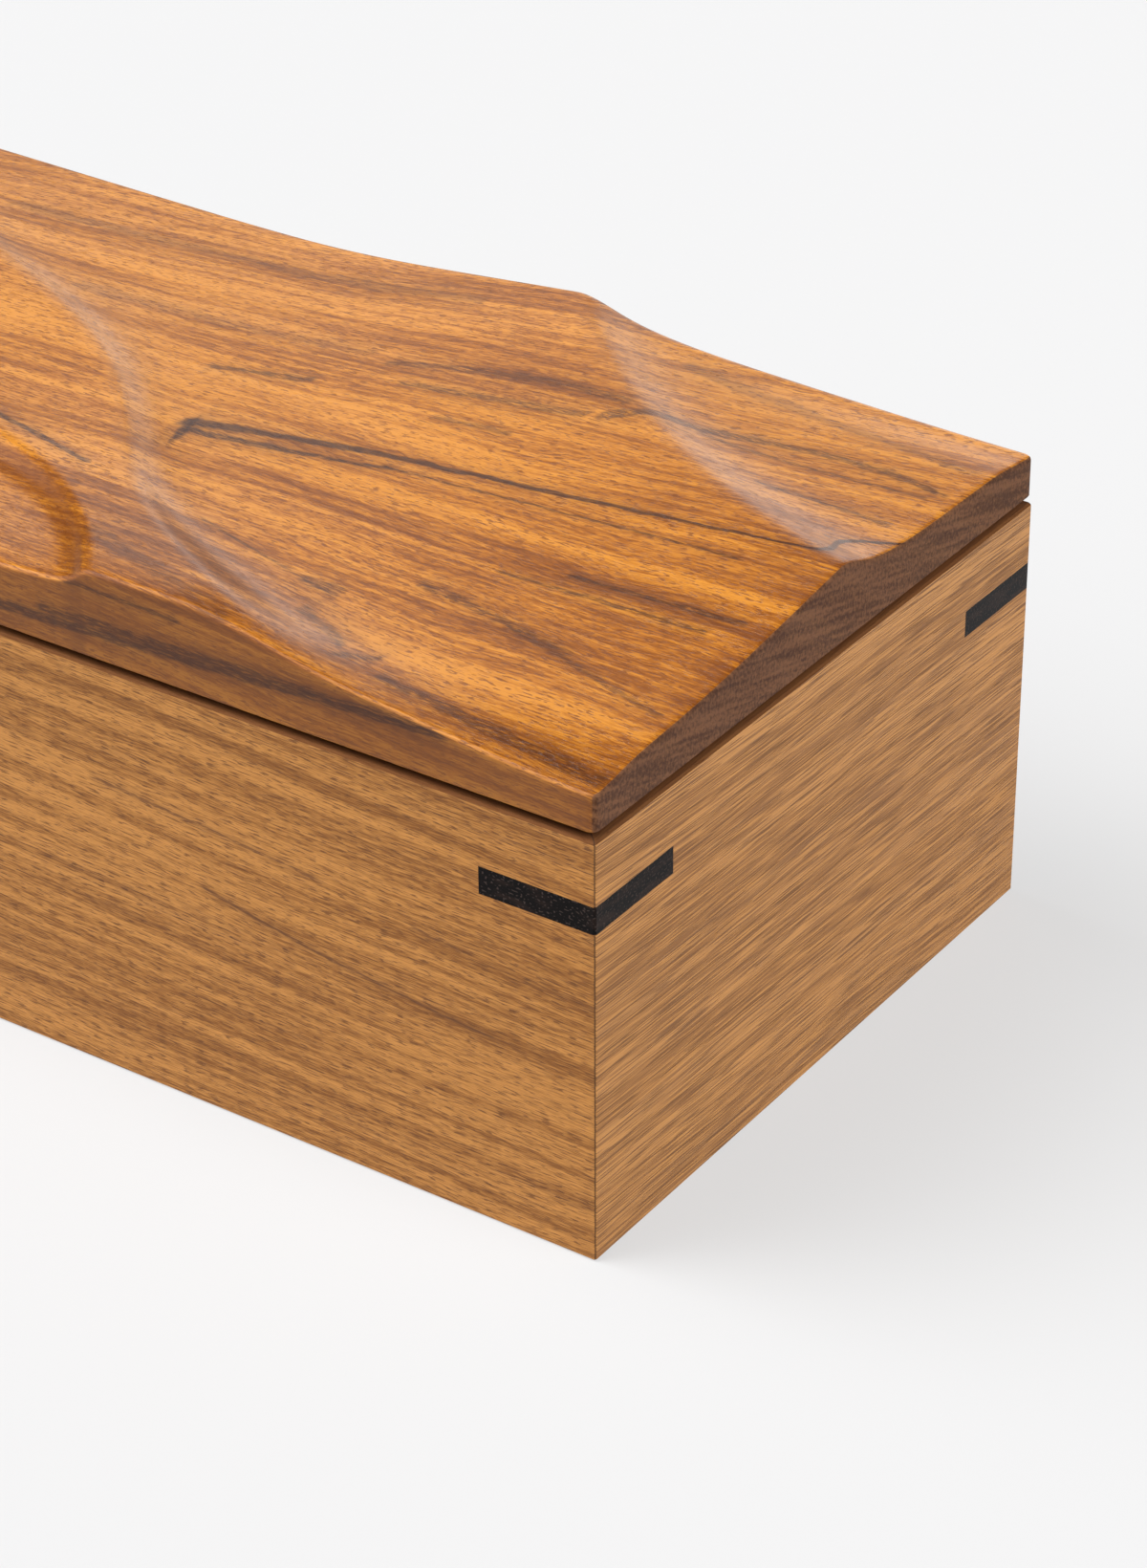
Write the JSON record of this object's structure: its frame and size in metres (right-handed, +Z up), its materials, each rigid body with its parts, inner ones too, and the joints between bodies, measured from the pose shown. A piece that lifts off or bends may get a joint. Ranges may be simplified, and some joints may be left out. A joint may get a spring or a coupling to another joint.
{
  "type": "sliding lid wooden box",
  "caption": "Long mitred wooden box with dark corner keys and a thick, wavy carved lid that slides out of grooves in the walls.",
  "frame": {"origin": "middle of the box's underside, on the surface that the box rests on", "axes": "+X along the length towards the closed end, +Y towards the back, +Z up"},
  "size_m": [0.28, 0.12, 0.0862],
  "materials": {
    "wall_wood": "straight-grained mid-brown hardwood, oiled to a satin",
    "bottom_wood": "the walls' wood, planed and left paler",
    "key_wood": "near-black hardwood, flush and oiled",
    "lid_wood": "figured orange-brown hardwood with dark streaks, sanded smooth and oiled to a satin",
    "slider_wood": "the walls' wood, planed and waxed to run",
    "screw_brass": "turned, plain"
  },
  "bodies": {
    "box": {"front_side": "wall_wood", "back_side": "wall_wood", "closed_end": "wall_wood", "open_end": "wall_wood", "bottom_panel": "bottom_wood", "corner_key_front_closed": "key_wood", "corner_key_back_closed": "key_wood", "corner_key_front_open": "key_wood", "corner_key_back_open": "key_wood"},
    "lid": {"lid_board": "lid_wood", "lid_slider": "slider_wood", "lid_screws": "screw_brass"}
  },
  "joints": [
    {"name": "lid_slide", "type": "slide", "parent": "box", "child": "lid", "axis": [-1, 0, 0], "range_m": [0, 0.28]}
  ]
}
